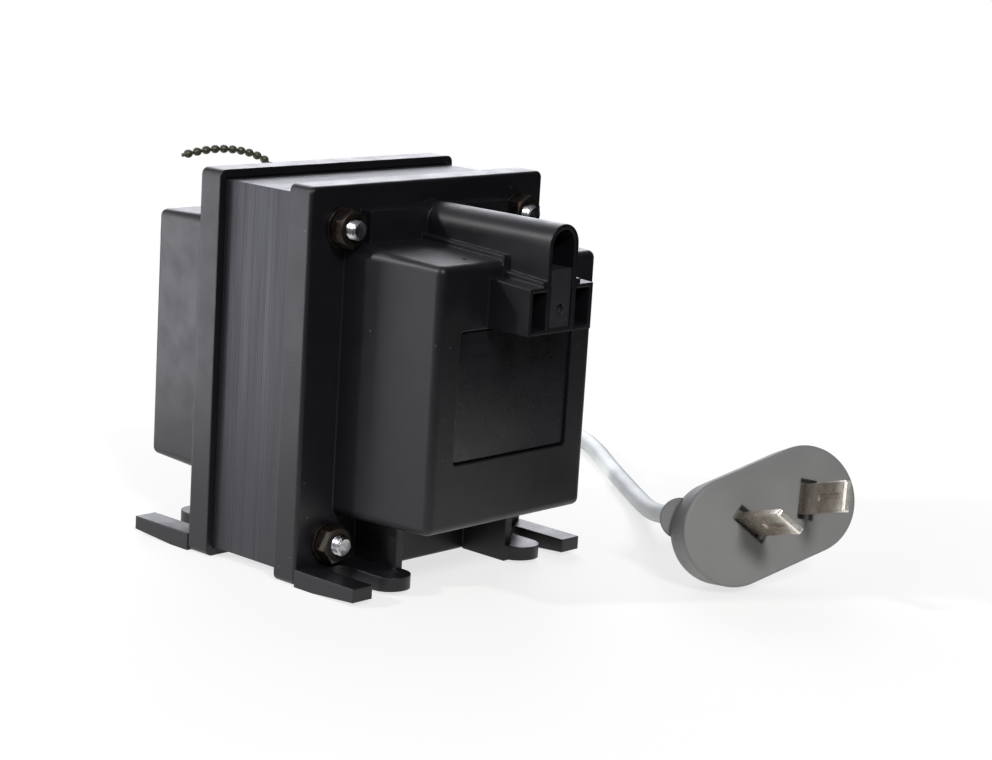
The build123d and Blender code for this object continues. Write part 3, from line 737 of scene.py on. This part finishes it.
class ConverterColours(bpy.types.PropertyGroup):
    """Colours of the finishes."""

    cover: colour_value("Covers", "Black moulded covers", (0.0075, 0.007, 0.009))
    panel: colour_value("Panel", "Bare plate in the front opening", (0.009, 0.0095, 0.012))
    grip: colour_value("Grip", "Plug of the unused channel", (0.022, 0.021, 0.024))
    outlet: colour_value("Outlet", "Black outlet at the back", (0.012, 0.012, 0.013))
    core: colour_value("Core", "Varnished stampings", (0.042, 0.042, 0.049))
    nut: colour_value("Nuts", "Dull plated nuts and washers", (0.06, 0.054, 0.048))
    bolt: colour_value("Bolts", "Bright zinc plate", (0.75, 0.76, 0.78))
    cord: colour_value("Cord", "Light grey lead", (0.6, 0.63, 0.62))
    plug: colour_value("Plug", "Mid grey plug", (0.22, 0.22, 0.215))
    neck: colour_value("Neck", "Light grey neck behind the plug", (0.5, 0.52, 0.51))
    pins: colour_value("Pins", "Tarnished plated pins", (0.52, 0.46, 0.39))
    tie: colour_value("Tie", "Dark olive beads", (0.07, 0.068, 0.04))
    brass: colour_value("Brass", "Spring brass of the outlet's contacts", (0.62, 0.45, 0.2))
    bobbin: colour_value("Bobbin", "Pale nylon bobbin", (0.6, 0.56, 0.46))
    thin_wire: colour_value("Thin wire", "Enamel of the primary winding", (0.62, 0.22, 0.09))
    thick_wire: colour_value("Thick wire", "Enamel of the secondary winding", (0.58, 0.2, 0.08))
    tape: colour_value("Tape", "Yellow polyester tape", (0.66, 0.5, 0.14))
    fuse: colour_value("Fuse", "Case of the thermal fuse", (0.6, 0.6, 0.58))


# Pieces


class CONVERTER_OT_lead(bpy.types.Operator):
    """Mains lead from the sleeve through its coil to the plug"""

    bl_idname = "converter.lead"
    bl_label = "Mains lead"

    def execute(self, context):
        sizes, colours = context.scene.converter_sizes, context.scene.converter_colours
        route = [from_core(point) for point in REAR_ROUTE + coil_points() + FRONT_ROUTE]
        lead = route_curve("mains_lead", route, sizes.cord)
        finish = moulded_plastic("Lead PVC", colours.cord, rough=(0.4, 0.52), grain=0.00001,
                                 dust=0.02, wear=0.0, pale=(0.4, 0.38, 0.34))
        lead.data.materials.append(finish)
        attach(lead, "root")
        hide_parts("mains_cord_rear", "mains_cord_coil", "mains_cord_front")
        return {"FINISHED"}


class CONVERTER_OT_tie(bpy.types.Operator):
    """Beaded tie, once round the sleeve and up over the rear cover"""

    bl_idname = "converter.tie"
    bl_label = "Beaded tie"

    def execute(self, context):
        sizes, colours = context.scene.converter_sizes, context.scene.converter_colours
        string = route_curve("string", [from_core(point) for point in TIE_ROUTE], sizes.string)
        bm = bmesh.new()
        mesh = bpy.data.meshes.new_from_object(string)
        bm.from_mesh(mesh)
        bpy.data.meshes.remove(mesh)
        string.data.bevel_depth = 0.0
        mesh = bpy.data.meshes.new_from_object(string)
        line = [vert.co.copy() for vert in mesh.vertices]
        bpy.data.meshes.remove(mesh)
        bpy.data.objects.remove(string)
        self.thread_beads(bm, line, sizes)
        finish = moulded_plastic("Tie nylon", colours.tie, rough=(0.3, 0.42), dust=0.05, wear=0.0)
        tie = new_piece("beaded_cord", bm, finish)
        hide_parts("beaded_tie")
        return {"FINISHED"}

    def thread_beads(self, bm, line, sizes):
        """Adds a long bead at each step along the string's line."""
        due = sizes.bead / 2
        for start, end in zip(line, line[1:]):
            run = (end - start).length
            while due <= run:
                bead = bmesh.new()
                bmesh.ops.create_uvsphere(bead, u_segments=16, v_segments=10, radius=sizes.bead / 2)
                bmesh.ops.scale(bead, vec=(1.0, 1.0, BEAD_STRETCH), verts=bead.verts)
                lay = (end - start).to_track_quat("Z", "Y").to_matrix().to_4x4()
                centre = Matrix.Translation(start.lerp(end, due / run))
                bmesh.ops.transform(bead, matrix=centre @ lay, verts=bead.verts)
                add_to(bm, bead)
                due += sizes.bead_step
            due -= run


class CONVERTER_OT_nuts(bpy.types.Operator):
    """Four chamfered hexagon nuts in front"""

    bl_idname = "converter.nuts"
    bl_label = "Nuts"

    def execute(self, context):
        sizes, colours = context.scene.converter_sizes, context.scene.converter_colours
        hole = sizes.bolt / 2 + BORE_GAP
        inner = cut_corners(sizes.flats, sizes.flats / 2 * NUT_RIM)
        outer = [(sizes.nut - depth, radius_at) for depth, radius_at in reversed(inner)]
        bore = [
            (sizes.nut, round_at(hole + BORE_CHAMFER)),
            (sizes.nut - BORE_CHAMFER, round_at(hole)),
            (BORE_CHAMFER, round_at(hole)),
            (0.0, round_at(hole + BORE_CHAMFER)),
        ]
        bm = bmesh.new()
        for number, (x, z) in enumerate(BOLT_PLACES):
            nut = bmesh.new()
            stack_rings(nut, inner + outer + bore, closed=True)
            lay_forward(nut, x, z, CORE_Y - CLAMP_FACE, FIRST_NUT_TURN + NUT_TURN * number)
            add_to(bm, nut)
        finish = aged_metal("Dull steel", colours.nut, stain=(0.07, 0.05, 0.04), rough=(0.34, 0.6))
        nuts = new_piece("nut_set", bm, finish, smooth=False)
        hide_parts("hex_nuts")
        return {"FINISHED"}


class CONVERTER_OT_bolts(bpy.types.Operator):
    """Four through bolts: hexagon heads at the back, threaded ends in front"""

    bl_idname = "converter.bolts"
    bl_label = "Through bolts"

    def execute(self, context):
        sizes, colours = context.scene.converter_sizes, context.scene.converter_colours
        bm = bmesh.new()
        for number, (x, z) in enumerate(BOLT_PLACES):
            bolt = bmesh.new()
            stack_rings(bolt, self.head(sizes) + self.shank(sizes))
            lay_forward(bolt, x, z, CORE_Y + CLAMP_FACE + sizes.head, BOLT_TURN * number)
            add_to(bm, bolt)
        finish = aged_metal("Zinc plate", colours.bolt, stain=(0.4, 0.4, 0.42), rough=(0.2, 0.38),
                            edge=0.00008)
        bolts = new_piece("bolt_set", bm, finish, smooth=False)
        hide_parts("through_bolts")
        return {"FINISHED"}

    def head(self, sizes):
        """Rings of the head, from its crown to the shank."""
        rim = sizes.flats / 2 * HEAD_RIM
        crown = [(0.0, round_at(rim * HEAD_CROWN))]
        seat = [(sizes.head, hex_at(sizes.flats)), (sizes.head, round_at(sizes.bolt / 2))]
        return crown + cut_corners(sizes.flats, rim) + seat

    def shank(self, sizes):
        """Rings of the shank, with its thread from inside the nut to the end."""
        radius = sizes.bolt / 2
        end = sizes.head + 2 * CLAMP_FACE + sizes.nut + sizes.bolt_end
        start = end - sizes.bolt_end - THREAD_IN_NUT
        depth = THREAD_DEPTH * sizes.thread
        steps = THREAD_RINGS * round((end - start) / sizes.thread)
        rings = [(start, round_at(radius))]
        for step in range(1, steps):
            height = start + (end - start) * step / steps
            taper = max(0.0, height - (end - END_TAPER))
            rings.append((height, thread_at(radius - taper, height, sizes.thread, depth)))
        point = (end + POINT_HEIGHT, round_at(radius * POINT_SHARE))
        return rings + [(end, round_at(radius - depth)), point]


class CONVERTER_OT_pins(bpy.types.Operator):
    """The plug's two flat pins, grooved along their middle, with softened tips"""

    bl_idname = "converter.pins"
    bl_label = "Plug pins"

    def execute(self, context):
        sizes, colours = context.scene.converter_sizes, context.scene.converter_colours
        front = (PLUG_FRONT - PLUG_ROW * PLUG_FRONT.dot(PLUG_ROW)).normalized()
        lay = Matrix((PLUG_ROW, front.cross(PLUG_ROW), front)).transposed().to_4x4()
        bm = bmesh.new()
        for side in (-1, 1):
            pin = self.bar(sizes)
            self.cut_grooves(pin, sizes)
            turn = Matrix.Rotation(side * PIN_TURN, 4, "Z")
            along = Matrix.Translation(from_core(PLUG_PLACE) + PLUG_ROW * side * sizes.pin_pitch / 2)
            bmesh.ops.transform(pin, matrix=along @ lay @ turn, verts=pin.verts)
            add_to(bm, pin)
        finish = pin_plate(colours.pins, stain=(0.36, 0.3, 0.24), tip=(0.9, 0.86, 0.78))
        pins = new_piece("plug_pin_pair", bm, finish, smooth=False)
        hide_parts("plug_pins")
        return {"FINISHED"}

    def bar(self, sizes):
        """A flat bar along Z from inside the plug, with softened tip and sides."""
        pin = bmesh.new()
        bmesh.ops.create_cube(pin, size=1.0)
        whole = (sizes.pin_width, sizes.pin_thick, sizes.pin_length + PIN_SUNK)
        bmesh.ops.scale(pin, vec=whole, verts=pin.verts)
        bmesh.ops.translate(pin, vec=(0, 0, (sizes.pin_length - PIN_SUNK) / 2), verts=pin.verts)
        tips = [e for e in pin.edges if all(v.co.z > 0 for v in e.verts)]
        bmesh.ops.bevel(pin, geom=tips, offset=TIP_EDGE, offset_type="OFFSET", affect="EDGES",
                        segments=3, profile=0.5, material=-1)
        rises = [(e, abs(e.verts[0].co.z - e.verts[1].co.z)) for e in pin.edges]
        sides = [e for e, rise in rises if rise > sizes.pin_length / 2]
        bmesh.ops.bevel(pin, geom=sides, offset=SIDE_EDGE, offset_type="OFFSET", affect="EDGES",
                        segments=2, profile=0.5, material=-1)
        return pin

    def cut_grooves(self, pin, sizes):
        """Sinks a groove into the middle of each flat side."""
        low, high = GROOVE_START, sizes.pin_length - GROOVE_TO_TIP
        cuts = [((x, 0, 0), (1, 0, 0)) for x in (GROOVE_WIDTH / 2, -GROOVE_WIDTH / 2)]
        cuts += [((0, 0, z), (0, 0, 1)) for z in (low, high)]
        for cut, normal in cuts:
            everything = pin.verts[:] + pin.edges[:] + pin.faces[:]
            bmesh.ops.bisect_plane(pin, geom=everything, plane_co=cut, plane_no=normal)
        for face_side in (-1, 1):
            pin.normal_update()
            flat = [
                f for f in pin.faces
                if f.normal.y * face_side > 0.9
                and abs(f.calc_center_median().x) < GROOVE_WIDTH / 2
                and low < f.calc_center_median().z < high
            ]
            slope = GROOVE_DEPTH * GROOVE_SLOPE
            bmesh.ops.inset_region(pin, faces=flat, thickness=slope, depth=-GROOVE_DEPTH)


class CONVERTER_OT_finishes(bpy.types.Operator):
    """Finishes of the pieces that keep their own shape"""

    bl_idname = "converter.finishes"
    bl_label = "Finishes"

    def execute(self, context):
        colours = context.scene.converter_colours
        cover = moulded_plastic("Cover plastic", colours.cover, rough=(0.36, 0.46), grain=0.000008,
                                dust=0.7, edge=0.0005, wear=0.08, specular=0.42)
        panel = moulded_plastic("Panel plastic", colours.panel, rough=(0.24, 0.32), grain=0.000004,
                                dust=0.5, edge=0.0003, wear=0.08)
        grip = moulded_plastic("Grip plastic", colours.grip, rough=(0.4, 0.5))
        outlet = moulded_plastic("Outlet plastic", colours.outlet, rough=(0.2, 0.3), grain=0.000006,
                                 edge=0.0003)
        sleeve = moulded_plastic("Sleeve PVC", colours.cord, rough=(0.42, 0.55), grain=0.00001,
                                 dust=0.02, edge=0.0003, wear=0.0)
        bobbin = moulded_plastic("Bobbin nylon", colours.bobbin, rough=(0.35, 0.5), wear=0.0)
        washer = aged_metal("Washer steel", colours.nut, stain=(0.09, 0.07, 0.055), rough=(0.32, 0.55))
        brass = aged_metal("Spring brass", colours.brass, stain=(0.35, 0.24, 0.12))
        fuse = aged_metal("Fuse case", colours.fuse, stain=(0.45, 0.44, 0.4))
        thin_wire = wound_copper("Enamelled wire", 0.6 * MM, colours.thin_wire)
        thick_wire = wound_copper("Enamelled thick wire", 1.1 * MM, colours.thick_wire)
        kept = (
            (cover, ("front_cover", "rear_cover")),
            (panel, ("front_plate",)),
            (grip, ("grip_plug",)),
            (outlet, ("outlet_body",)),
            (brass, ("outlet_contacts",)),
            (laminated_steel("Core stampings", colours.core), ("e_laminations", "i_laminations")),
            (bobbin, ("bobbin",)),
            (thin_wire, ("primary_winding",)),
            (thick_wire, ("secondary_winding",)),
            (wound_tape("Polyester tape", colours.tape), ("interlayer_insulation", "outer_tape")),
            (fuse, ("thermal_fuse",)),
            (washer, ("washers",)),
            (sleeve, ("cord_sleeve", "cord_tail")),
            (plug_plastic(colours.plug, colours.neck), ("plug_body",)),
        )
        for finish, nodes in kept:
            for node in nodes:
                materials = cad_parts[node].data.materials
                materials.clear()
                materials.append(finish)
        return {"FINISHED"}


class CONVERTER_OT_stage(bpy.types.Operator):
    """Pale floor, soft studio light and the camera"""

    bl_idname = "converter.stage"
    bl_label = "Stage"

    def execute(self, context):
        self.make_camera(context.scene)
        self.make_floor()
        self.make_world(context.scene)
        self.make_lamps()
        context.scene.view_settings.view_transform = "Standard"
        return {"FINISHED"}

    def make_camera(self, scene):
        """A camera with the photograph's place, aim, roll and lens."""
        level = math.cos(CAMERA_PITCH)
        aim = Vector((
            math.sin(CAMERA_HEADING) * level,
            math.cos(CAMERA_HEADING) * level,
            math.sin(CAMERA_PITCH),
        ))
        right = aim.cross(Vector((0, 0, 1))).normalized()
        up = right.cross(aim)
        tilted_right = right * math.cos(CAMERA_ROLL) + up * math.sin(CAMERA_ROLL)
        tilted_up = up * math.cos(CAMERA_ROLL) - right * math.sin(CAMERA_ROLL)
        data = bpy.data.cameras.new("camera")
        data.sensor_width = 36.0
        data.lens = CAMERA_LENS
        data.clip_start = 0.01
        data.clip_end = 20.0
        camera = bpy.data.objects.new("camera", data)
        turn = Matrix((tilted_right, tilted_up, -aim)).transposed().to_4x4()
        camera.matrix_world = Matrix.Translation(CAMERA_PLACE) @ turn
        scene.collection.objects.link(camera)
        scene.camera = camera

    def make_floor(self):
        """A pale sheet that keeps a faint shadow and fades to white for the camera."""
        bm = bmesh.new()
        bmesh.ops.create_circle(bm, segments=96, radius=FLOOR_RADIUS, cap_ends=True)
        bmesh.ops.translate(bm, vec=FLOOR_MIDDLE - Vector((0, 0, FLOOR_SUNK)), verts=bm.verts)
        mesh = bpy.data.meshes.new("floor")
        bm.to_mesh(mesh)
        bm.free()
        floor = bpy.data.objects.new("floor", mesh)
        bpy.context.scene.collection.objects.link(floor)
        finish = Finish("Pale sheet", Base_Color=FLOOR_COLOUR, Roughness=0.6, Specular_IOR_Level=0.2)
        tree = finish.tree
        glow = add_node(tree, "ShaderNodeEmission", {"Color": WHITE, "Strength": 1.0})
        path = tree.nodes.new("ShaderNodeLightPath")
        seen = calculate(tree, "MAXIMUM", path.outputs["Is Camera Ray"], path.outputs["Is Glossy Ray"])
        seen = calculate(tree, "MAXIMUM", seen, path.outputs["Is Transmission Ray"])
        away = add_node(tree, "ShaderNodeVectorMath", {1: FLOOR_MIDDLE}, operation="DISTANCE")
        tree.links.new(finish.coordinates, away.inputs[0])
        fade = stretch(tree, away.outputs["Value"], *FLOOR_FADE, FLOOR_GLOW, 1.0)
        share = calculate(tree, "MULTIPLY", seen, fade)
        mixed = blend_shader(tree, share, finish.shader.outputs[0], glow.outputs[0])
        tree.links.new(mixed, tree.nodes["Material Output"].inputs["Surface"])
        mesh.materials.append(finish.material)

    def make_world(self, scene):
        """White to the camera; bright behind and to the left, dark in front."""
        world = bpy.data.worlds.new("studio")
        scene.world = world
        world.use_nodes = True
        tree = world.node_tree
        tree.nodes.clear()
        where = tree.nodes.new("ShaderNodeTexCoord").outputs["Generated"]
        side = direction_share(tree, where, BRIGHT_SIDE)
        room = add_node(tree, "ShaderNodeBackground", {"Color": ROOM_COLOUR})
        tree.links.new(stretch(tree, side, *ROOM_SIDES, *ROOM_STRENGTH), room.inputs["Strength"])
        backdrop = add_node(tree, "ShaderNodeBackground", {"Color": WHITE, "Strength": 1.0})
        seen = tree.nodes.new("ShaderNodeLightPath").outputs["Is Camera Ray"]
        mixed = blend_shader(tree, seen, room.outputs[0], backdrop.outputs[0])
        out = tree.nodes.new("ShaderNodeOutputWorld")
        tree.links.new(mixed, out.inputs["Surface"])

    def make_lamps(self):
        """Softboxes and a raking key behind the object, and a fill from above its front."""
        for name, toward, energy, angle in SUNS:
            data = bpy.data.lights.new(name, "SUN")
            data.energy = energy
            data.angle = math.radians(angle)
            self.hang(data, Vector((0, 0, 0)), toward)
        for name, spot, size, level in SOFTBOXES:
            data = bpy.data.lights.new(name, "AREA")
            data.shape = "RECTANGLE"
            data.size, data.size_y = size
            data.energy = level * math.pi * size[0] * size[1]
            data.color = SOFTBOX_COLOUR
            self.hang(data, Vector(spot), OBJECT_MIDDLE - Vector(spot))

    def hang(self, data, spot, toward):
        """Hangs a lamp at a spot, turned in a direction and unseen by the camera."""
        lamp = bpy.data.objects.new(data.name, data)
        lamp.rotation_mode = "QUATERNION"
        lamp.rotation_quaternion = Vector(toward).to_track_quat("-Z", "Y")
        lamp.location = spot
        lamp.visible_camera = False
        bpy.context.scene.collection.objects.link(lamp)


STEPS = (
    CONVERTER_OT_stage,
    CONVERTER_OT_pins,
    CONVERTER_OT_lead,
    CONVERTER_OT_tie,
    CONVERTER_OT_nuts,
    CONVERTER_OT_bolts,
    CONVERTER_OT_finishes,
)


class CONVERTER_PT_panel(bpy.types.Panel):
    """Sizes, colours and steps of the converter"""

    bl_idname = "CONVERTER_PT_panel"
    bl_label = "Voltage converter"
    bl_space_type = "VIEW_3D"
    bl_region_type = "UI"
    bl_category = "Converter"

    def draw(self, context):
        for group in (context.scene.converter_sizes, context.scene.converter_colours):
            box = self.layout.box()
            for key in group.__annotations__:
                box.prop(group, key)
        for step in STEPS:
            self.layout.operator(step.bl_idname)


CLASSES = (ConverterSizes, ConverterColours, *STEPS, CONVERTER_PT_panel)


def register():
    """Registers the classes and the scene's values."""
    for made in CLASSES:
        bpy.utils.register_class(made)
    bpy.types.Scene.converter_sizes = bpy.props.PointerProperty(type=ConverterSizes)
    bpy.types.Scene.converter_colours = bpy.props.PointerProperty(type=ConverterColours)


def unregister():
    """Takes the classes and the scene's values away again."""
    del bpy.types.Scene.converter_colours
    del bpy.types.Scene.converter_sizes
    for made in reversed(CLASSES):
        bpy.utils.unregister_class(made)


def main():
    """Makes everything in order."""
    register()
    bpy.ops.converter.stage()
    bpy.ops.converter.pins()
    bpy.ops.converter.lead()
    bpy.ops.converter.tie()
    bpy.ops.converter.nuts()
    bpy.ops.converter.bolts()
    bpy.ops.converter.finishes()


if __name__ == "__main__":
    main()
